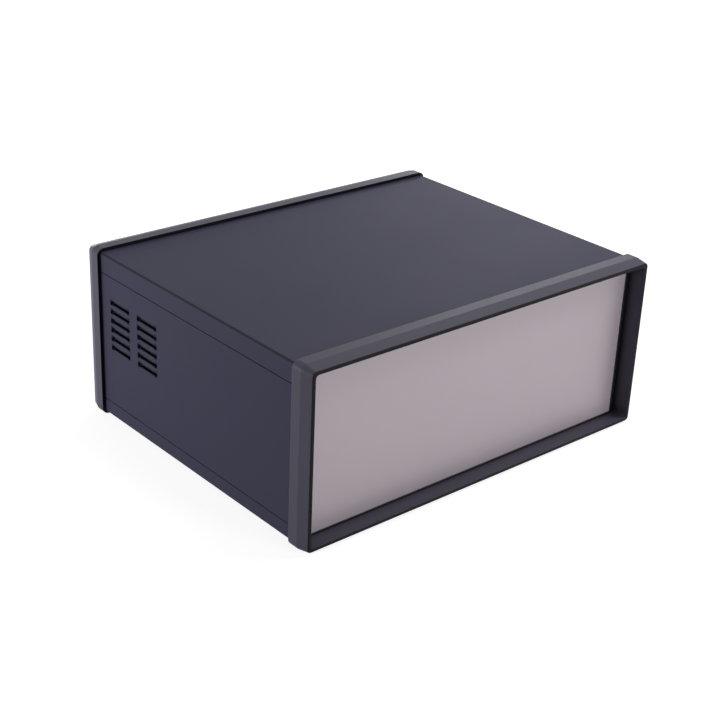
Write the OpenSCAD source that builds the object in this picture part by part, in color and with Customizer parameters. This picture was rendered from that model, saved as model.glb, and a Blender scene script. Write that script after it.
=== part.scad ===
// Desktop instrument enclosure: two moulded bezels tied by four rails and closed by folded sheet covers.
// Millimetres. X is the width, Y the depth with the front at -Y, Z is up. The bezels stand on Z = 0.

/* [Case] */
// overall width across the bezels
case_w = 430; // [330:5:500]
// overall depth from rim to rim
case_d = 350; // [260:5:450]
// overall height of the bezels
case_h = 180; // [140:5:220]
// how far the covers lie inside the bezel outline
cover_step = 3.4; // [3:0.2:5]

/* [Sheet metal] */
// thickness of the covers and side panels
sheet = 1.2; // [1:0.1:1.5]
// outer radius of the cover folds
fold_r = 2; // [1.8:0.1:2.4]
// height of the top cover flanges
top_flange = 20.5; // [15:0.5:26]
// height of the bottom cover flanges
bottom_flange = 15.5; // [12:0.5:22]
// open joint between a flange and the side panel
seam = 0.8; // [0.4:0.1:1.2]
// slack on each side of a sheet in its groove
slack = 0.15; // [0.1:0.05:0.25]
// depth of the sheet edge in its groove
engage = 5; // [4:0.5:6]

/* [Front bezel] */
// depth of the front bezel seen from the side
front_depth = 24.5; // [23:0.5:30]
// length of the drawn-in zone behind the front rim
front_crease = 13; // [10:0.5:16]
// outer corner radius of the front bezel
front_corner = 7; // [6:0.5:9]
// how far the rims are drawn in
taper = 2.2; // [1.6:0.2:2.6]
// wall of the rims
lip = 3.8; // [3.2:0.2:4.6]
// rounding of the rim edges
rim_round = 1.4; // [0.8:0.1:1.6]
// corner radius inside the rims
recess_r = 3.5; // [2.5:0.25:4.5]
// depth from the front rim to the ledge
recess = 17.5; // [15:0.5:20]
// thickness of the ledge in front of the panel
ledge_t = 1.5; // [1.2:0.1:2]
// width hidden by the ledge at the two sides of the panel
ledge_side = 5; // [4.6:0.2:6]
// width hidden by the ledge above and below the panel
ledge_top = 1.1; // [0.8:0.1:1.6]

/* [Rear bezel] */
// depth of the rear bezel seen from the side
rear_depth = 19.5; // [17:0.5:22]
// length of the drawn-in zone before the rear rim
rear_crease = 9; // [7:0.5:11]
// outer corner radius of the rear bezel
rear_corner = 7.5; // [6:0.5:10]
// depth from the rear rim to the rear panel
rear_recess = 6.5; // [5:0.5:7]
// length of the rear bezel's guide inside the covers
rear_tongue = 7.5; // [6:0.5:10]
// thickness of the web behind the rear panel
web_t = 3; // [2.4:0.2:4]
// width of the web
web_w = 16; // [14:0.5:20]

/* [Panels] */
// thickness of the front panel
front_panel_t = 2.5; // [2:0.25:3]
// thickness of the rear panel
rear_panel_t = 2; // [1.5:0.25:2.5]
// gap round the panels
panel_gap = 0.2; // [0.1:0.05:0.4]

/* [Vents] */
// length of a louvre
louvre_l = 34; // [24:1:44]
// height of a louvre
louvre_h = 4.8; // [4:0.2:6]
// wall of the hoods pressed in behind the louvres
hood_t = 0.9; // [0.7:0.1:1]
// distance between louvres, from one to the next below
louvre_pitch = 9.6; // [9:0.2:12]
// louvres in a column
louvre_rows = 6; // [3:1:7]
// columns of louvres on each side
louvre_cols = 2; // [1:1:3]
// distance between columns, centre to centre
col_pitch = 47; // [45:1:60]
// distance of the rear column from the rear bezel
vent_back = 16; // [10:1:30]
// height of the middle of the vents over the floor
vent_z = 106; // [70:1:110]

/* [Panel clamps] */
// width of the bars that hold the front panel
clamp_w = 10; // [8:0.5:12]
// depth of the bars behind the front panel
clamp_d = 11.5; // [10.5:0.5:14]
// height of the corner bosses that the bars are screwed to
boss_h = 10; // [9:0.5:12]
// length of the corner bosses
boss_l = 10; // [9:0.5:11]

/* [Rails] */
// thickness of the rails
rail_t = 1.5; // [1.2:0.1:2]
// inner radius of the rail folds
rail_fold = 0.8; // [0.6:0.1:1.2]
// width of the rail leg under a cover
rail_w = 14; // [13:0.5:18]
// height of the rail leg behind a seam
rail_h = 32; // [28:1:36]

/* [Base holes] */
// distance between the base holes across the width
base_x = 320; // [200:10:340]
// distance between the base holes along the depth
base_y = 220; // [120:10:230]
// radius of the base holes
base_r = 2.25; // [1.6:0.05:3]

/* [Hidden] */
$fn = 48;
mid_z = case_h / 2;
tongue_t = 1.5;
// half sizes of the ring of sheets, outside and inside
out_x = case_w / 2 - cover_step;
out_z = case_h / 2 - cover_step;
in_x = out_x - sheet;
in_z = out_z - sheet;
// half sizes of the pocket inside the tongues
pocket_x = in_x - slack - tongue_t;
pocket_z = in_z - slack - tongue_t;
// half sizes of the space inside the rims
rim_x = case_w / 2 - taper - lip;
rim_z = case_h / 2 - taper - lip;
// stations along the depth
y_front = -case_d / 2;
y_rear = case_d / 2;
y_skirt_f = y_front + front_depth;
y_skirt_r = y_rear - rear_depth;
y_ledge = y_front + recess;
y_panel = y_ledge + ledge_t;
y_clamp = y_panel + front_panel_t;
y_groove_f = y_skirt_f - engage;
y_groove_r = y_skirt_r + engage;
y_tongue_f = y_clamp + clamp_d;
y_tongue_r = y_skirt_r - rear_tongue;
y_sheet_f = y_groove_f + slack;
y_sheet_r = y_groove_r - slack;
y_rear_panel = y_rear - rear_recess - rear_panel_t;
y_web = y_rear_panel - web_t;
// seams of the sides
z_top_seam = case_h - cover_step - top_flange;
z_low_seam = cover_step + bottom_flange;
// hoods of the louvres: length, inner radius, plan corners, place of the axis in the sheet; then the slit
hood_l = louvre_l - 1;
hood_r = louvre_h / 2 - 0.15;
hood_corner = 2;
hood_flat = 0.7;
hood_in = 0.3;
slit_top = 1.4;
slit_l = hood_l - 2 * hood_corner - 1;
// corner bosses of the front bezel
boss_w = ledge_side;
boss_y = y_panel + boss_l;
panel_hx = pocket_x - panel_gap;
panel_hz = pocket_z - panel_gap;
open_x = panel_hx - ledge_side;
open_z = panel_hz - ledge_top;
// front screws
fs_r = 1.3;
fs_in = 8;
fs_bore = 8.5;
fs_x = pocket_x - 2.6;
fs_z = pocket_z - boss_h / 2;
fs_head_r = 2.2;
// rear bezel screws
rs_r = 2;
rs_in = 9;
rs_x = pocket_x - rs_in;
rs_z = pocket_z - rs_in;
rs_boss_r = 4.5;
tab_edge = 8;
rs_head_r = 4;
// rear panel screws
ps_r = 1.5;
ps_next = 15;
ps_x = rs_x - ps_next;
ps_boss_r = 3.5;
ps_deep = 6.5;
pan_r = 2.75;
pan_h = 2;
ps_z = rim_z - web_w / 2;
// bottom screws
bs_r = 1.5;
bs_l = 6;
bs_x = in_x - rail_w / 2;
bs_step = (y_tongue_r - y_tongue_f) * 0.36;
bs_mid = (y_tongue_r + y_tongue_f) / 2;
hole_gap = 0.05;
pass_gap = 0.3;
// earth stud
earth_x = 0;
earth_in = 32;
earth_y = y_tongue_r - earth_in;
stud_l = 12;
stud_flange = 0.8;
earth_z = cover_step + sheet;
stud_r = 2;
washer_t = 0.8;
nut_t = 3.2;

// rectangle with round corners, centred
module rounded(w, h, r) {
  square([w - 2 * r, h], center = true);
  square([w, h - 2 * r], center = true);
  for (sx = [-1, 1], sy = [-1, 1])
    translate([sx * (w / 2 - r), sy * (h / 2 - r)])
      circle(r = r);
}

// a shape drawn in X and Z, drawn out from y0 to y1
module out_y(y0, y1) {
  translate([0, y1, 0])
    rotate([90, 0, 0])
      linear_extrude(height = y1 - y0)
        children();
}

// the same about the middle height of the case
module along_y(y0, y1) {
  translate([0, 0, mid_z])
    out_y(y0, y1)
      children();
}

// a round bar along Y from y0 to y1 at x and z
module bar_y(x, z, y0, y1, ra, rb) {
  translate([x, y0, z])
    rotate([-90, 0, 0])
      cylinder(h = y1 - y0, r1 = ra, r2 = rb);
}

// the four mirrored corners of the case
module corners() {
  for (sx = [0, 1], sz = [0, 1])
    translate([0, 0, mid_z])
      mirror([sx, 0, 0])
        mirror([0, 0, sz])
          children();
}

// edge of a bezel outside its core: full size up to the crease, drawn in to the rim, rim edge rounded
module bezel_edge(r, y0, yc, y1) {
  yb = y1 + sign(y0 - y1) * rim_round;
  rb = r - taper - rim_round;
  polygon([[0, y0], [r, y0], [r, yc], [r - taper, yb], [rb, yb], [rb, y1], [0, y1]]);
  translate([rb, yb])
    circle(r = rim_round);
}

// outer body of a bezel from its sheet side y0 over the crease yc to the rim y1
module bezel_body(y0, yc, y1, r) {
  lx = case_w - 2 * r;
  lz = case_h - 2 * r;
  translate([-lx / 2, min(y0, y1), mid_z - lz / 2])
    cube([lx, abs(y1 - y0), lz]);
  translate([0, 0, mid_z])
    for (s = [0, 1]) {
      mirror([s, 0, 0])
        translate([lx / 2, 0, 0])
          linear_extrude(height = lz, center = true)
            bezel_edge(r, y0, yc, y1);
      mirror([0, 0, s])
        translate([0, 0, lz / 2])
          rotate([0, -90, 0])
            linear_extrude(height = lx, center = true)
              bezel_edge(r, y0, yc, y1);
    }
  corners()
    translate([lx / 2, 0, lz / 2])
      rotate([-90, 0, 0])
        rotate_extrude()
          bezel_edge(r, y0, yc, y1);
}

// thin ring that guides the sheets from inside
module tongue(y0, y1) {
  along_y(y0, y1)
    difference() {
      rounded(2 * (in_x - slack), 2 * (in_z - slack), fold_r - sheet);
      square([2 * pocket_x, 2 * pocket_z], center = true);
    }
}

// groove that takes the edges of the ring of sheets
module sheet_groove(y0, y1) {
  along_y(y0, y1)
    difference() {
      rounded(2 * (out_x + slack), 2 * (out_z + slack), fold_r + slack);
      rounded(2 * (in_x - slack), 2 * (in_z - slack), fold_r - sheet);
    }
}

module front_bezel() color([0.32, 0.32, 0.36]) {
  difference() {
    bezel_body(y_skirt_f, y_front + front_crease, y_front, front_corner);
    along_y(y_front - 1, y_ledge)
      rounded(2 * rim_x, 2 * rim_z, recess_r);
    along_y(y_ledge - 1, y_panel + 1)
      square([2 * open_x, 2 * open_z], center = true);
    along_y(y_panel, y_skirt_f + 1)
      square([2 * pocket_x, 2 * pocket_z], center = true);
    sheet_groove(y_groove_f, y_skirt_f + 1);
  }
  tongue(y_skirt_f - 1, y_tongue_f);
  corners()
    difference() {
      translate([pocket_x - boss_w, y_panel, pocket_z - boss_h])
        cube([boss_w, boss_y - y_panel, boss_h]);
      bar_y(fs_x, fs_z, boss_y - fs_bore, boss_y + 1, fs_r + hole_gap, fs_r + hole_gap);
    }
}

module front_panel() color([0.72, 0.7, 0.72]) {
  difference() {
    along_y(y_panel, y_clamp)
      square([2 * panel_hx, 2 * panel_hz], center = true);
    corners()
      translate([pocket_x - boss_w - panel_gap, y_panel - 1, pocket_z - boss_h - panel_gap])
        cube([boss_w + 1, front_panel_t + 2, boss_h + 1]);
  }
}

// upright bar that presses one side of the panel on the ledge
module clamp_bar() {
  difference() {
    translate([panel_hx - clamp_w, y_clamp, -panel_hz])
      cube([clamp_w, clamp_d, 2 * panel_hz]);
    for (sz = [0, 1])
      mirror([0, 0, sz]) {
        translate([pocket_x - boss_w - panel_gap, y_clamp - 1, pocket_z - boss_h - panel_gap])
          cube([boss_w + 1, boss_y - y_clamp + 1, boss_h + 1]);
        bar_y(fs_x, fs_z, boss_y - 1, y_tongue_f + 1, fs_r + pass_gap, fs_r + pass_gap);
      }
  }
}

module left_clamp() color([0.2, 0.2, 0.22]) {
  translate([0, 0, mid_z])
    mirror([1, 0, 0])
      clamp_bar();
}

module right_clamp() color([0.2, 0.2, 0.22]) {
  translate([0, 0, mid_z])
    clamp_bar();
}

module front_screws() color([0.75, 0.75, 0.77]) {
  corners() {
    difference() {
      bar_y(fs_x, fs_z, y_tongue_f + rail_t, y_tongue_f + rail_t + 1.8, fs_head_r, fs_head_r - 0.5);
      translate([fs_x - 1.4, y_tongue_f + rail_t + 1, fs_z - 0.25])
        cube([2.8, 2, 0.5]);
      translate([fs_x - 0.25, y_tongue_f + rail_t + 1, fs_z - 1.4])
        cube([0.5, 2, 2.8]);
    }
    bar_y(fs_x, fs_z, boss_y - fs_in, y_tongue_f + rail_t, fs_r, fs_r);
  }
}

// rectangle down and inwards from the inner corner of the covers, that corner rounded
module corner_piece(w, h, r) {
  translate([in_x - w, in_z - h]) {
    square([w - r, h]);
    square([w, h - r]);
  }
  translate([in_x - r, in_z - r])
    circle(r = r);
}

// section of a corner rail: an angle folded from sheet
module rail_section() {
  difference() {
    corner_piece(rail_w, rail_h, rail_t + rail_fold);
    translate([-rail_t, -rail_t])
      corner_piece(rail_w, rail_h, rail_fold);
  }
}

// corner rail: the angle with a tab folded in at each end
module rail() {
  tab_h = in_z - rs_z + tab_edge;
  difference() {
    union() {
      out_y(y_tongue_f, y_tongue_r)
        rail_section();
      out_y(y_tongue_f, y_tongue_f + rail_t)
        corner_piece(rail_w, tab_h, rail_t + rail_fold);
      out_y(y_tongue_r - rail_t, y_tongue_r)
        corner_piece(in_x - rs_x + tab_edge, tab_h, rail_t + rail_fold);
    }
    bar_y(fs_x, fs_z, y_tongue_f - 1, y_tongue_f + rail_t + 1, fs_r + pass_gap, fs_r + pass_gap);
    bar_y(rs_x, rs_z, y_tongue_r - rail_t - 1, y_tongue_r + 1, rs_r + pass_gap, rs_r + pass_gap);
  }
}

// lower rail: the same angle, bored for the bottom screws
module lower_rail() {
  difference() {
    mirror([0, 0, 1])
      rail();
    for (i = [-1:1])
      translate([bs_x, bs_mid + i * bs_step, -in_z - 1])
        cylinder(h = rail_t + 2, r = bs_r + hole_gap);
  }
}

module top_left_rail() color([0.66, 0.67, 0.68]) {
  translate([0, 0, mid_z])
    mirror([1, 0, 0])
      rail();
}

module top_right_rail() color([0.66, 0.67, 0.68]) {
  translate([0, 0, mid_z])
    rail();
}

module bottom_left_rail() color([0.66, 0.67, 0.68]) {
  translate([0, 0, mid_z])
    mirror([1, 0, 0])
      lower_rail();
}

module bottom_right_rail() color([0.66, 0.67, 0.68]) {
  translate([0, 0, mid_z])
    lower_rail();
}

// section of a folded cover: the ring of sheets kept above the cut height
module cover_section(cut) {
  difference() {
    rounded(2 * out_x, 2 * out_z, fold_r);
    rounded(2 * in_x, 2 * in_z, fold_r - sheet);
    translate([-case_w / 2, -case_h])
      square([case_w, case_h + cut]);
  }
}

module top_cover() color([0.3, 0.3, 0.36]) {
  along_y(y_sheet_f, y_sheet_r)
    cover_section(z_top_seam + seam / 2 - mid_z);
}

module bottom_cover() color([0.3, 0.3, 0.36]) {
  difference() {
    along_y(y_sheet_f, y_sheet_r)
      mirror([0, 1])
        cover_section(mid_z - z_low_seam + seam / 2);
    for (sx = [-1, 1], i = [-1:1])
      translate([sx * bs_x, bs_mid + i * bs_step, cover_step - 1])
        cylinder(h = sheet + 2, r = bs_r + pass_gap);
    for (sx = [-1, 1], sy = [-1, 1])
      translate([sx * base_x / 2, sy * base_y / 2, cover_step - 1])
        cylinder(h = sheet + 2, r = base_r);
  }
}

// outline of a louvre in Y and Z, with round ends
module louvre_outline() {
  square([louvre_l - louvre_h, louvre_h], center = true);
  for (s = [-1, 1])
    translate([s * (louvre_l - louvre_h) / 2, 0])
      circle(d = louvre_h, $fn = 24);
}

// body of a hood behind its axis: round from top to bottom, with round corners in plan
module hood(r, l, corner) {
  deep = r + hood_flat;
  intersection() {
    rotate([90, 0, 0])
      cylinder(h = 2 * l, r = r, center = true, $fn = 24);
    linear_extrude(height = 4 * r, center = true)
      union() {
        translate([-deep + corner, -l / 2])
          square([deep - corner + hood_in, l]);
        translate([-deep, -l / 2 + corner])
          square([deep, l - 2 * corner]);
        for (s = [-1, 1])
          translate([-deep + corner, s * (l / 2 - corner)])
            circle(r = corner, $fn = 24);
      }
  }
}

// puts a louvre at each place of the vent pattern, on the axis of its hood
module at_vents() {
  for (c = [0:louvre_cols - 1], k = [0:louvre_rows - 1])
    translate([
      in_x + hood_in,
      y_skirt_r - vent_back - louvre_l / 2 - c * col_pitch,
      vent_z + (k - (louvre_rows - 1) / 2) * louvre_pitch
    ])
      children();
}

module side_sheet() {
  z0 = z_low_seam + seam / 2;
  z1 = z_top_seam - seam / 2;
  size = hood_r + hood_t;
  difference() {
    union() {
      translate([in_x, y_sheet_f, z0])
        cube([sheet, y_sheet_r - y_sheet_f, z1 - z0]);
      at_vents()
        hood(size, hood_l + 2 * hood_t, hood_corner + hood_t);
    }
    at_vents()
      hood(hood_r, hood_l, hood_corner);
    at_vents()
      translate([hood_in / 2, 0, 0])
        rotate([90, 0, 90])
          linear_extrude(height = 2 * sheet)
            louvre_outline();
    at_vents()
      translate([-2 * size - hood_in, -slit_l / 2, -2 * size])
        cube([2 * size, slit_l, 2 * size - slit_top]);
  }
}

module left_side() color([0.27, 0.27, 0.32]) {
  mirror([1, 0, 0])
    side_sheet();
}

module right_side() color([0.27, 0.27, 0.32]) {
  side_sheet();
}

module bottom_screws() color([0.75, 0.75, 0.77]) {
  for (sx = [-1, 1], i = [-1:1])
    translate([sx * bs_x, bs_mid + i * bs_step, 0]) {
      difference() {
        translate([0, 0, cover_step - pan_h])
          cylinder(h = pan_h, r1 = pan_r * 0.8, r2 = pan_r);
        translate([-1.6, -0.3, cover_step - pan_h - 1])
          cube([3.2, 0.6, 2]);
        translate([-0.3, -1.6, cover_step - pan_h - 1])
          cube([0.6, 3.2, 2]);
      }
      translate([0, 0, cover_step])
        cylinder(h = bs_l, r = bs_r);
    }
}

module rail_nuts() color([0.78, 0.76, 0.7]) {
  corners()
    difference() {
      bar_y(rs_x, rs_z, y_tongue_r - rail_t - 3, y_tongue_r - rail_t, 3.6, 3.6);
      bar_y(rs_x, rs_z, y_tongue_r - rail_t - 4, y_tongue_r, rs_r + hole_gap, rs_r + hole_gap);
    }
}

// where the rear panel screws stand, as X and Z about the middle
function panel_screws() = [for (x = [-ps_x, 0, ps_x], z = [-ps_z, ps_z]) [x, z]];

module rear_bezel() color([0.32, 0.32, 0.36]) {
  difference() {
    union() {
      difference() {
        bezel_body(y_skirt_r, y_rear - rear_crease, y_rear, rear_corner);
        along_y(y_rear_panel, y_rear + 1)
          rounded(2 * rim_x, 2 * rim_z, recess_r);
        along_y(y_skirt_r - 1, y_web)
          square([2 * pocket_x, 2 * pocket_z], center = true);
        along_y(y_web - 1, y_rear_panel + 1)
          square([2 * (rim_x - web_w), 2 * (rim_z - web_w)], center = true);
        sheet_groove(y_skirt_r - 1, y_groove_r);
      }
      tongue(y_tongue_r, y_skirt_r + 1);
      corners()
        bar_y(rs_x, rs_z, y_tongue_r, y_web, rs_boss_r, rs_boss_r);
      for (p = panel_screws())
        bar_y(p[0], mid_z + p[1], y_web - ps_deep - 1.5, y_web, ps_boss_r, ps_boss_r);
    }
    corners() {
      bar_y(rs_x, rs_z, y_tongue_r - 1, y_rear_panel + 1, rs_r + pass_gap, rs_r + pass_gap);
      bar_y(rs_x, rs_z, y_rear_panel - 2.2, y_rear_panel + 0.2, rs_r + pass_gap, rs_head_r + pass_gap + 0.2);
    }
    for (p = panel_screws())
      bar_y(p[0], mid_z + p[1], y_web - ps_deep - 0.5, y_rear_panel + 1, ps_r + hole_gap, ps_r + hole_gap);
  }
}

module rear_bezel_screws() color([0.2, 0.2, 0.21]) {
  corners() {
    difference() {
      bar_y(rs_x, rs_z, y_rear_panel - 2.2, y_rear_panel - 0.2, rs_r, rs_head_r);
      translate([rs_x - 2, y_rear_panel - 1.2, rs_z - 0.4])
        cube([4, 2, 0.8]);
      translate([rs_x - 0.4, y_rear_panel - 1.2, rs_z - 2])
        cube([0.8, 2, 4]);
    }
    bar_y(rs_x, rs_z, y_tongue_r - rail_t - 4, y_rear_panel - 2.2, rs_r, rs_r);
  }
}

module rear_panel() color([0.24, 0.24, 0.28]) {
  difference() {
    along_y(y_rear_panel, y_rear_panel + rear_panel_t)
      rounded(2 * (rim_x - panel_gap), 2 * (rim_z - panel_gap), recess_r - panel_gap);
    for (p = panel_screws())
      bar_y(p[0], mid_z + p[1], y_rear_panel - 1, y_rear, ps_r + pass_gap, ps_r + pass_gap);
  }
}

module rear_panel_screws() color([0.2, 0.2, 0.21]) {
  y0 = y_rear_panel + rear_panel_t;
  for (p = panel_screws()) {
    difference() {
      bar_y(p[0], mid_z + p[1], y0, y0 + pan_h, pan_r, pan_r * 0.8);
      translate([p[0] - 1.6, y0 + 1, mid_z + p[1] - 0.3])
        cube([3.2, 2, 0.6]);
      translate([p[0] - 0.3, y0 + 1, mid_z + p[1] - 1.6])
        cube([0.6, 2, 3.2]);
    }
    bar_y(p[0], mid_z + p[1], y_web - ps_deep, y0, ps_r, ps_r);
  }
}

module earth_stud() color([0.74, 0.72, 0.66]) {
  translate([earth_x, earth_y, earth_z]) {
    cylinder(h = stud_flange, r = 1.5 * stud_r);
    cylinder(h = stud_l, r = stud_r);
  }
}

module earth_washer() color([0.7, 0.7, 0.7]) {
  translate([earth_x, earth_y, earth_z + stud_flange])
    difference() {
      cylinder(h = washer_t, r = 4.4);
      translate([0, 0, -1])
        cylinder(h = washer_t + 2, r = stud_r + hole_gap);
    }
}

module earth_nut() color([0.74, 0.72, 0.66]) {
  translate([earth_x, earth_y, earth_z + stud_flange + washer_t])
    difference() {
      cylinder(h = nut_t, r = 4.04, $fn = 6);
      translate([0, 0, -1])
        cylinder(h = nut_t + 2, r = stud_r + hole_gap);
    }
}

front_bezel();
front_panel();
left_clamp();
right_clamp();
front_screws();
top_left_rail();
top_right_rail();
bottom_left_rail();
bottom_right_rail();
bottom_cover();
left_side();
right_side();
top_cover();
bottom_screws();
rail_nuts();
rear_bezel();
rear_bezel_screws();
rear_panel();
rear_panel_screws();
earth_stud();
earth_washer();
earth_nut();
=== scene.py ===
# %% [markdown]
# # A desktop instrument enclosure
# The case is built from separate pieces: two moulded bezels, a plain aluminium front panel, folded steel
# covers with side vents, and the rails and screws inside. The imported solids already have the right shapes,
# so this lesson is about finishes: powder coat, moulded plastic, blasted aluminium and plated steel.

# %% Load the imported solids
import math

import bpy
from mathutils import Matrix, Vector

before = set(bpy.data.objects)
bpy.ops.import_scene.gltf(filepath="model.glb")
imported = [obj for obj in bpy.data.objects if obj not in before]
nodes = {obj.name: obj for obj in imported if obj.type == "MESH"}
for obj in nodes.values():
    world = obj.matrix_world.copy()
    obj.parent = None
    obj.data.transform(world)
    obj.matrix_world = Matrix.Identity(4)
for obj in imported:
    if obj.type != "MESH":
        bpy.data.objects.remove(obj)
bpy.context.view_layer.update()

# %% [markdown]
# ## Small helpers for shader trees
# A finish is a tree of nodes. A few helpers keep the cells short: one adds a node and sets its values, one
# joins sockets, one starts a group with its sockets, and one maps a range of values to another. Coordinates
# come from the object itself, in metres, so grain keeps its real size on every piece and lies still when the
# camera moves.

# %% Helpers for nodes and groups
def add(tree, kind, values=None, **settings):
    node = tree.nodes.new(kind)
    for name, value in settings.items():
        setattr(node, name, value)
    for name, value in (values or {}).items():
        node.inputs[name].default_value = value
    return node


def join(tree, *pairs):
    for out, into in pairs:
        tree.links.new(out, into)


def new_group(name, inputs, outputs):
    tree = bpy.data.node_groups.new(name, "ShaderNodeTree")
    for label, kind, value in inputs:
        tree.interface.new_socket(label, in_out="INPUT", socket_type=kind).default_value = value
    for label, kind in outputs:
        tree.interface.new_socket(label, in_out="OUTPUT", socket_type=kind)
    return tree, add(tree, "NodeGroupInput"), add(tree, "NodeGroupOutput")


def ramp(tree, start, end, first=0.0, last=1.0):
    ends = {"From Min": start, "From Max": end, "To Min": first, "To Max": last}
    return add(tree, "ShaderNodeMapRange", ends)


def object_place(tree):
    return add(tree, "ShaderNodeTexCoord").outputs["Object"]


FLOAT, VECTOR = "NodeSocketFloat", "NodeSocketVector"
print("helpers ready")

# %% [markdown]
# ## Grain: the skin of a coating or a moulding
# Powder coat dries with a faint orange peel, and a moulding tool is spark-eroded to a fine leathery skin.
# Both are small bumps of one typical size with a little unevenness in gloss. One group gives a height for the
# bump, a slow mottle for the colour and a roughness, and each finish asks for its own grain size.

# %% Build the grain group
MOTTLE_PER_M = 14.0
NOISE_MIDDLE = 0.5


def grain_group():
    tree, given, out = new_group(
        "surface_grain",
        [("Grain per m", FLOAT, 900.0), ("Roughness", FLOAT, 0.5), ("Roughness spread", FLOAT, 0.08)],
        [("Height", FLOAT), ("Mottle", FLOAT), ("Roughness", FLOAT)],
    )
    place = object_place(tree)
    fine = add(tree, "ShaderNodeTexNoise", {"Detail": 3.0, "Roughness": 0.55})
    slow = add(tree, "ShaderNodeTexNoise", {"Scale": MOTTLE_PER_M, "Detail": 4.0, "Roughness": 0.6})
    spread = add(tree, "ShaderNodeMath", {1: NOISE_MIDDLE}, operation="SUBTRACT")
    scaled = add(tree, "ShaderNodeMath", operation="MULTIPLY")
    rough = add(tree, "ShaderNodeMath", operation="ADD", use_clamp=True)
    join(
        tree,
        (place, fine.inputs["Vector"]),
        (given.outputs["Grain per m"], fine.inputs["Scale"]),
        (place, slow.inputs["Vector"]),
        (slow.outputs["Fac"], spread.inputs[0]),
        (spread.outputs[0], scaled.inputs[0]),
        (given.outputs["Roughness spread"], scaled.inputs[1]),
        (scaled.outputs[0], rough.inputs[0]),
        (given.outputs["Roughness"], rough.inputs[1]),
        (fine.outputs["Fac"], out.inputs["Height"]),
        (slow.outputs["Fac"], out.inputs["Mottle"]),
        (rough.outputs[0], out.inputs["Roughness"]),
    )
    return tree


GRAIN = grain_group()
print("group:", GRAIN.name)

# %% [markdown]
# ## Edges, dust, painted shade in hollows and on folds, and darker front faces
# Corners of a handled case are a touch lighter, because paint is thinner there and hands polish plastic, and
# no real edge is perfectly sharp. The Bevel node gives a rounded normal near an edge; comparing it with the
# plain normal gives a mask of the edges. Dust settles on faces that look up, in soft patches. Hollows, seams
# and the feet of steps get painted shade: a short look around each point tells how open it is, and the
# colour is darkened where it is closed in.
# Last, the folds and the front rim look darker in the picture than the faces beside them. Lamps alone don't
# give that here, so the colour does: the slopes of the folds and of the vent hoods get painted shade, and
# the faces that look ahead, the front rim among them, are made darker. A mask of each face's own direction
# finds them. On the rim, the picture can't tell a darker skin from a shadow, so its darkening is a choice.

# %% Build the edge group
EDGE_ROUND = 0.0007  # metres
EDGE_TURN = (0.995, 0.8)  # cosines between the plain and the rounded normal


def edge_group():
    tree, given, out = new_group(
        "soft_edges", [("Wear", FLOAT, 0.5)], [("Edge mask", FLOAT), ("Rounded normal", VECTOR)]
    )
    rounded = add(tree, "ShaderNodeBevel", {"Radius": EDGE_ROUND}, samples=6)
    plain = add(tree, "ShaderNodeNewGeometry")
    dot = add(tree, "ShaderNodeVectorMath", operation="DOT_PRODUCT")
    turned = ramp(tree, *EDGE_TURN)
    worn = add(tree, "ShaderNodeMath", operation="MULTIPLY", use_clamp=True)
    join(
        tree,
        (rounded.outputs["Normal"], dot.inputs[0]),
        (plain.outputs["Normal"], dot.inputs[1]),
        (dot.outputs["Value"], turned.inputs["Value"]),
        (turned.outputs["Result"], worn.inputs[0]),
        (given.outputs["Wear"], worn.inputs[1]),
        (worn.outputs[0], out.inputs["Edge mask"]),
        (rounded.outputs["Normal"], out.inputs["Rounded normal"]),
    )
    return tree


EDGES = edge_group()
print("group:", EDGES.name)

# %% Build the dust group
DUST_TILT = (0.3, 0.95)  # how far up a face looks before dust stays on it
DUST_PATCHES_PER_M = 9.0


def dust_group():
    tree, given, out = new_group("settled_dust", [("Amount", FLOAT, 0.05)], [("Dust mask", FLOAT)])
    plain = add(tree, "ShaderNodeNewGeometry")
    up = add(tree, "ShaderNodeSeparateXYZ")
    facing = ramp(tree, *DUST_TILT)
    patches = add(tree, "ShaderNodeTexNoise", {"Scale": DUST_PATCHES_PER_M, "Detail": 5.0, "Roughness": 0.65})
    place = object_place(tree)
    both = add(tree, "ShaderNodeMath", operation="MULTIPLY")
    amount = add(tree, "ShaderNodeMath", operation="MULTIPLY", use_clamp=True)
    join(
        tree,
        (plain.outputs["Normal"], up.inputs[0]),
        (up.outputs["Z"], facing.inputs["Value"]),
        (place, patches.inputs["Vector"]),
        (facing.outputs["Result"], both.inputs[0]),
        (patches.outputs["Fac"], both.inputs[1]),
        (both.outputs[0], amount.inputs[0]),
        (given.outputs["Amount"], amount.inputs[1]),
        (amount.outputs[0], out.inputs["Dust mask"]),
    )
    return tree


DUST = dust_group()
print("group:", DUST.name)

# %% Build the group for painted shade in hollows
OPENNESS = (0.35, 0.9)  # share of the directions that are free: a deep hollow, and an open face


# painted shade: the colour is darkened where a point is closed in, in hollows, seams and at the feet of steps
def painted_hollow_shade_group():
    tree, given, out = new_group(
        "painted_shade_in_hollows", [("Reach", FLOAT, 0.005), ("Darkest", FLOAT, 0.5)], [("Shade", FLOAT)]
    )
    nearby = add(tree, "ShaderNodeAmbientOcclusion", samples=6, only_local=False)
    shade = ramp(tree, *OPENNESS)
    join(
        tree,
        (given.outputs["Reach"], nearby.inputs["Distance"]),
        (nearby.outputs["AO"], shade.inputs["Value"]),
        (given.outputs["Darkest"], shade.inputs["To Min"]),
        (shade.outputs["Result"], out.inputs["Shade"]),
    )
    return tree


PAINTED_HOLLOW_SHADE = painted_hollow_shade_group()
print("group:", PAINTED_HOLLOW_SHADE.name)

# %% Build the group for painted shade on folds and darker front faces
FRONT_TURN = (-0.5, -0.9)  # the Y of the normal where a face starts to look ahead, and where it does
FOLD_SLOPE = (0.02, 0.16)  # z * (1 - z) of the normal: near 0 on flat faces, up to 0.25 on a fold


# painted shade on the slopes of folds and vent hoods, and a darker colour on faces that look ahead
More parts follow.
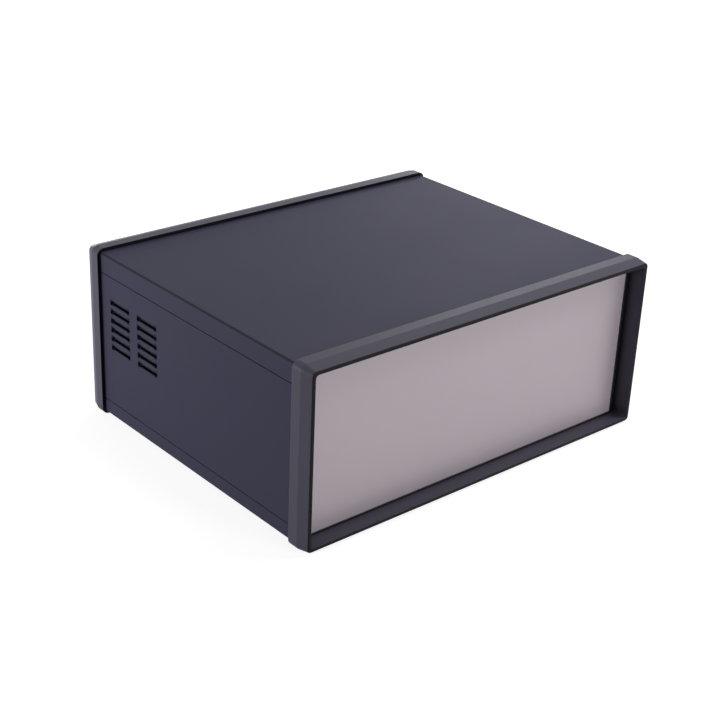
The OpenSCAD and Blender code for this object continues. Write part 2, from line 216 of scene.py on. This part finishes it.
def painted_fold_shade_dark_front_group():
    tree, given, out = new_group(
        "painted_fold_shade_dark_front", [("Front shade", FLOAT, 1.0), ("Fold shade", FLOAT, 1.0)], [("Shade", FLOAT)]
    )
    plain = add(tree, "ShaderNodeNewGeometry")
    axes = add(tree, "ShaderNodeSeparateXYZ")
    front = ramp(tree, *FRONT_TURN, first=1.0)
    height = add(tree, "ShaderNodeMath", operation="ABSOLUTE")
    rest = add(tree, "ShaderNodeMath", {0: 1.0}, operation="SUBTRACT")
    slope = add(tree, "ShaderNodeMath", operation="MULTIPLY")
    fold = ramp(tree, *FOLD_SLOPE, first=1.0)
    both = add(tree, "ShaderNodeMath", operation="MULTIPLY")
    join(
        tree,
        (plain.outputs["Normal"], axes.inputs[0]),
        (axes.outputs["Y"], front.inputs["Value"]),
        (given.outputs["Front shade"], front.inputs["To Max"]),
        (axes.outputs["Z"], height.inputs[0]),
        (height.outputs[0], rest.inputs[1]),
        (height.outputs[0], slope.inputs[0]),
        (rest.outputs[0], slope.inputs[1]),
        (slope.outputs[0], fold.inputs["Value"]),
        (given.outputs["Fold shade"], fold.inputs["To Max"]),
        (front.outputs["Result"], both.inputs[0]),
        (fold.outputs["Result"], both.inputs[1]),
        (both.outputs[0], out.inputs["Shade"]),
    )
    return tree


PAINTED_FOLD_SHADE_DARK_FRONT = painted_fold_shade_dark_front_group()
print("group:", PAINTED_FOLD_SHADE_DARK_FRONT.name)

# %% [markdown]
# ## One recipe for coated and plain surfaces
# Every finish here is the same chain: a base colour with a slow mottle, lighter edges, a veil of dust,
# painted shade in hollows and on folds, darker front faces, then a grain bump and an uneven roughness. The
# Principled shader stays in the material, so that gloss and metal can be set on its own sockets.

# %% The finish recipe
DUST_COLOUR = (0.42, 0.4, 0.38)
GRAIN_HEIGHT = 0.0004  # metres
NO_FOLD_OR_FRONT_DARKENING = (1.0, 1.0)  # front and folds no darker than the rest


def opaque(colour):
    return (*colour, 1)


def placed(tree, group, **values):
    node = add(tree, "ShaderNodeGroup", node_tree=group)
    for label, value in values.items():
        node.inputs[label.replace("_", " ")].default_value = value
    return node


def colour_mix(tree, **colours):
    node = add(tree, "ShaderNodeMix", data_type="RGBA")
    for label, colour in colours.items():
        node.inputs[label].default_value = opaque(colour)
    return node


def finish(
    name, colour, mottled, edge_colour, grain, rough, spread, bump, wear, dust, hollow,
    turned=NO_FOLD_OR_FRONT_DARKENING, **shader,
):
    material = bpy.data.materials.new(name)
    material.use_nodes = True
    tree = material.node_tree
    surface = tree.nodes["Principled BSDF"]
    for socket, value in shader.items():
        surface.inputs[socket.replace("_", " ")].default_value = value
    skin = placed(tree, GRAIN, Grain_per_m=grain, Roughness=rough, Roughness_spread=spread)
    edges = placed(tree, EDGES, Wear=wear)
    veil = placed(tree, DUST, Amount=dust)
    reach, darkest = hollow
    # painted shade in hollows and seams
    hollow_shade_node = placed(tree, PAINTED_HOLLOW_SHADE, Reach=reach, Darkest=darkest)
    # painted shade on folds and vent hoods, and darker front faces
    front_shade, fold_shade = turned
    faces = placed(tree, PAINTED_FOLD_SHADE_DARK_FRONT, Front_shade=front_shade, Fold_shade=fold_shade)
    # the colour is scaled down by the painted shade in hollows and on folds, and by the darker front faces
    shade = add(tree, "ShaderNodeMath", operation="MULTIPLY")
    base = colour_mix(tree, A=colour, B=mottled)
    worn = colour_mix(tree, B=edge_colour)
    dusty = colour_mix(tree, B=DUST_COLOUR)
    shaded_colour = add(tree, "ShaderNodeVectorMath", operation="SCALE")
    relief = add(tree, "ShaderNodeBump", {"Strength": bump, "Distance": GRAIN_HEIGHT})
    join(
        tree,
        (skin.outputs["Mottle"], base.inputs["Factor"]),
        (base.outputs["Result"], worn.inputs["A"]),
        (edges.outputs["Edge mask"], worn.inputs["Factor"]),
        (worn.outputs["Result"], dusty.inputs["A"]),
        (veil.outputs["Dust mask"], dusty.inputs["Factor"]),
        (dusty.outputs["Result"], shaded_colour.inputs[0]),
        (hollow_shade_node.outputs["Shade"], shade.inputs[0]),
        (faces.outputs["Shade"], shade.inputs[1]),
        (shade.outputs[0], shaded_colour.inputs["Scale"]),
        (shaded_colour.outputs[0], surface.inputs["Base Color"]),
        (skin.outputs["Roughness"], surface.inputs["Roughness"]),
        (skin.outputs["Height"], relief.inputs["Height"]),
        (edges.outputs["Rounded normal"], relief.inputs["Normal"]),
        (relief.outputs["Normal"], surface.inputs["Normal"]),
    )
    print("finish:", name)
    return material


# %% [markdown]
# ## The finishes
# The covers are powder-coated steel in a dark slate with a violet cast. The bezels are moulded ABS of almost
# the same colour, a little lighter and more satin. The front panel is blasted and clear anodised aluminium,
# which looks like a soft silver because its tiny pits scatter the reflection. In each call, hollow gives the
# reach in metres and the darkest painted shade in hollows, and turned gives how dark the front faces and
# the painted shade on the folds go.

# %% Finishes that show from outside
# hollow and turned set the painted shade of each finish, and how dark its front faces go
slate_coat = finish(
    "slate_powder_coat", (0.036, 0.0345, 0.0655), (0.042, 0.040, 0.0765), (0.08, 0.078, 0.12),
    grain=950.0, rough=0.64, spread=0.08, bump=0.08, wear=0.1, dust=0.008,
    hollow=(0.005, 0.5), turned=(1.0, 0.25), Specular_IOR_Level=0.15,
)
bezel_plastic = finish(
    "moulded_bezel", (0.099, 0.095, 0.130), (0.109, 0.105, 0.143), (0.16, 0.157, 0.21),
    grain=1700.0, rough=0.44, spread=0.08, bump=0.09, wear=0.3, dust=0.008,
    hollow=(0.014, 0.35), turned=(0.11, 1.0), Specular_IOR_Level=0.08,
)
silver_panel = finish(
    "blasted_aluminium", (0.555, 0.487, 0.534), (0.585, 0.513, 0.563), (0.64, 0.575, 0.612),
    grain=3200.0, rough=0.5, spread=0.05, bump=0.06, wear=0.3, dust=0.0,
    hollow=(0.004, 1.0), Metallic=0.22,
)

# %% [markdown]
# ## Finishes of the hidden pieces
# Clamp bars are plain black plastic. The rails are black passivated sheet: they lie right behind the seams, so
# a bright rail would show as a light line. Screws and nuts inside and below are zinc plated, and the screws at
# the back are black.

# %% Finishes of rails, clamps and screws
clamp_plastic = finish(
    "clamp_plastic", (0.022, 0.022, 0.025), (0.03, 0.03, 0.033), (0.06, 0.06, 0.065),
    grain=1500.0, rough=0.5, spread=0.08, bump=0.1, wear=0.4, dust=0.01,
    hollow=(0.004, 0.7), Specular_IOR_Level=0.4,
)
black_sheet = finish(
    "black_passivated_sheet", (0.012, 0.012, 0.014), (0.018, 0.018, 0.02), (0.04, 0.04, 0.043),
    grain=420.0, rough=0.46, spread=0.12, bump=0.05, wear=0.4, dust=0.01,
    hollow=(0.004, 0.6), Metallic=0.5,
)
zinc_screw = finish(
    "zinc_plated_steel", (0.58, 0.585, 0.6), (0.66, 0.66, 0.67), (0.78, 0.78, 0.8),
    grain=2600.0, rough=0.3, spread=0.12, bump=0.05, wear=0.4, dust=0.0,
    hollow=(0.002, 0.7), Metallic=1.0,
)
black_screw = finish(
    "blackened_steel", (0.02, 0.02, 0.022), (0.032, 0.032, 0.035), (0.12, 0.12, 0.125),
    grain=2600.0, rough=0.38, spread=0.1, bump=0.06, wear=0.6, dust=0.0,
    hollow=(0.002, 0.7), Metallic=0.6,
)

# %% [markdown]
# ## Dress the pieces
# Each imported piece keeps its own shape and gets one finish. The list reads like a parts list, so a finish can
# be changed in one place.

# %% Give each piece its finish
PARTS = {
    "front_bezel": bezel_plastic,
    "rear_bezel": bezel_plastic,
    "front_panel": silver_panel,
    "rear_panel": slate_coat,
    "top_cover": slate_coat,
    "bottom_cover": slate_coat,
    "left_side": slate_coat,
    "right_side": slate_coat,
    "left_clamp": clamp_plastic,
    "right_clamp": clamp_plastic,
    "top_left_rail": black_sheet,
    "top_right_rail": black_sheet,
    "bottom_left_rail": black_sheet,
    "bottom_right_rail": black_sheet,
    "front_screws": zinc_screw,
    "bottom_screws": zinc_screw,
    "rail_nuts": zinc_screw,
    "earth_stud": zinc_screw,
    "earth_washer": zinc_screw,
    "earth_nut": zinc_screw,
    "rear_bezel_screws": black_screw,
    "rear_panel_screws": black_screw,
}
for name, material in PARTS.items():
    mesh = nodes[name].data
    mesh.materials.clear()
    mesh.materials.append(material)
print("dressed:", len(PARTS), "left plain:", sorted(set(nodes) - set(PARTS)))

# %% [markdown]
# ## A white table in a soft studio
# Product photographs are taken on a white sweep. The floor is pale card that also glows for the camera, more
# so away from the case, so it ends in clean white and still keeps a soft shadow. The world is white where the
# camera and mirror-like reflections see it, and a weak grey where it only fills in the shade.

# %% A switch for what is seen directly
def seen_directly(tree):
    path = add(tree, "ShaderNodeLightPath")
    first = add(tree, "ShaderNodeMath", operation="MAXIMUM")
    both = add(tree, "ShaderNodeMath", operation="MAXIMUM")
    join(
        tree,
        (path.outputs["Is Camera Ray"], first.inputs[0]),
        (path.outputs["Is Glossy Ray"], first.inputs[1]),
        (first.outputs[0], both.inputs[0]),
        (path.outputs["Is Transmission Ray"], both.inputs[1]),
    )
    return both.outputs[0]


print("switch ready")

# %% Floor
CARD = (0.5, 0.5, 0.5)
GLOW_REACH = (0.3, 1.1)  # metres from the middle of the case
GLOW_LEVEL = (0.86, 1.0)
FLOOR_HALF, FLOOR_DROP = 6.0, 0.0004  # metres; the drop keeps the floor off the case's lower faces


def white_floor():
    material = bpy.data.materials.new("white_card")
    material.use_nodes = True
    tree = material.node_tree
    tree.nodes.clear()
    card = add(tree, "ShaderNodeBsdfDiffuse", {"Color": opaque(CARD)})
    glow = add(tree, "ShaderNodeEmission")
    place = object_place(tree)
    far = add(tree, "ShaderNodeVectorMath", operation="LENGTH")
    whiter = ramp(tree, *GLOW_REACH, *GLOW_LEVEL)
    level = add(tree, "ShaderNodeMath", operation="MULTIPLY")
    both = add(tree, "ShaderNodeAddShader")
    out = add(tree, "ShaderNodeOutputMaterial")
    join(
        tree,
        (place, far.inputs[0]),
        (far.outputs["Value"], whiter.inputs["Value"]),
        (seen_directly(tree), level.inputs[0]),
        (whiter.outputs["Result"], level.inputs[1]),
        (level.outputs[0], glow.inputs["Strength"]),
        (card.outputs[0], both.inputs[0]),
        (glow.outputs[0], both.inputs[1]),
        (both.outputs[0], out.inputs["Surface"]),
    )
    mesh = bpy.data.meshes.new("floor")
    signs = ((-1, -1), (1, -1), (1, 1), (-1, 1))
    corners = [(x * FLOOR_HALF, y * FLOOR_HALF, -FLOOR_DROP) for x, y in signs]
    mesh.from_pydata(corners, [], [(0, 1, 2, 3)])
    mesh.materials.append(material)
    floor = bpy.data.objects.new("floor", mesh)
    bpy.context.scene.collection.objects.link(floor)


white_floor()
print("floor ready")

# %% World
FILL_COLOUR, FILL_LEVEL = (0.97, 0.98, 1.0), 0.06
WHITE, WHITE_LEVEL = (1, 1, 1), 1.0


def white_world():
    world = bpy.data.worlds.new("studio")
    world.use_nodes = True
    tree = world.node_tree
    tree.nodes.clear()
    fill = add(tree, "ShaderNodeBackground", {"Color": opaque(FILL_COLOUR), "Strength": FILL_LEVEL})
    white = add(tree, "ShaderNodeBackground", {"Color": opaque(WHITE), "Strength": WHITE_LEVEL})
    mix = add(tree, "ShaderNodeMixShader")
    out = add(tree, "ShaderNodeOutputWorld")
    join(
        tree,
        (seen_directly(tree), mix.inputs["Fac"]),
        (fill.outputs[0], mix.inputs[1]),
        (white.outputs[0], mix.inputs[2]),
        (mix.outputs[0], out.inputs["Surface"]),
    )
    bpy.context.scene.world = world


white_world()
print("world ready")

# %% [markdown]
# ## Lamps
# The right end of the top is the brightest place, the top fades to the left, and the walls of the recess are
# dark. So a low lamp behind the right corner skims the top, one straight ahead lights the panel evenly, a high
# one at the right front corner looks into the recess, and one hangs over the case. A low lamp on the left
# lights the side, and a last one lights the back, which this picture doesn't show.

# %% Soft boxes
def soft_box(name, place, aim, wide, watts):
    lamp = bpy.data.lights.new(name, "AREA")
    lamp.shape = "RECTANGLE"
    lamp.size, lamp.size_y = wide
    lamp.energy = watts
    holder = bpy.data.objects.new(name, lamp)
    holder.location = place
    holder.rotation_euler = (Vector(aim) - Vector(place)).to_track_quat("-Z", "Y").to_euler()
    bpy.context.scene.collection.objects.link(holder)


MIDDLE_LOW, MIDDLE_HIGH, PANEL_FACE = (0.0, 0.0, 0.1), (0.0, 0.0, 0.15), (0.0, -0.15, 0.09)
LAMPS = {  # place and aim in metres, width and height in metres, watts
    "rear_box": ((1.3, 1.0, 0.6), MIDDLE_HIGH, (0.5, 0.3), 3.3),
    "front_box": ((0.3, -1.7, 0.4), PANEL_FACE, (0.5, 0.4), 7.4),
    "over_box": ((0.35, 0.3, 1.45), MIDDLE_LOW, (0.8, 0.8), 5.3),
    "corner_box": ((0.75, -0.6, 1.0), MIDDLE_LOW, (0.4, 0.4), 3.7),
    "left_box": ((-1.45, 0.8, 0.28), MIDDLE_LOW, (0.6, 0.4), 13.2),
    "back_box": ((0.3, 1.9, 0.3), MIDDLE_LOW, (0.6, 0.4), 6.0),
}
for name, settings in LAMPS.items():
    soft_box(name, *settings)

# %% [markdown]
# ## The camera
# The photograph looks at the front left corner from above. The viewing angles, the distance and the lens were
# found by fitting the edges of the box to the edges in the picture, so the case stands in the same place.

# %% Camera of the photograph
AZIMUTH, ELEVATION, ROLL = -41.184, 25.163, 2.399
PLACE = (-0.90289, -1.01194, 0.70718)
FOCAL_PX, FRAME_PX = 1478.94, 705
SENSOR_MM, NEAR_M, FAR_M = 36.0, 0.05, 50.0


def aim_camera(azimuth, elevation, roll, place):
    a, e, r = (math.radians(v) for v in (azimuth, elevation, roll))
    back = Vector((math.sin(a) * math.cos(e), -math.cos(a) * math.cos(e), math.sin(e)))
    right = Vector((math.cos(a), math.sin(a), 0))
    up = back.cross(right)
    right, up = math.cos(r) * right + math.sin(r) * up, math.cos(r) * up - math.sin(r) * right
    turned = Matrix((right, up, back)).transposed().to_4x4()
    return Matrix.Translation(place) @ turned


lens = bpy.data.cameras.new("photo_camera")
lens.sensor_fit = "HORIZONTAL"
lens.sensor_width = SENSOR_MM
lens.lens = FOCAL_PX / FRAME_PX * lens.sensor_width
lens.clip_start, lens.clip_end = NEAR_M, FAR_M
camera = bpy.data.objects.new("photo_camera", lens)
camera.matrix_world = aim_camera(AZIMUTH, ELEVATION, ROLL, PLACE)
bpy.context.scene.collection.objects.link(camera)
bpy.context.scene.camera = camera
bpy.context.scene.view_settings.view_transform = "Standard"
print("lens:", round(lens.lens, 2), "mm")

# %% [markdown]
# ## Bring the scene up to date
# The view layer is updated once more at the end.

# %% Update the view layer
bpy.context.view_layer.update()
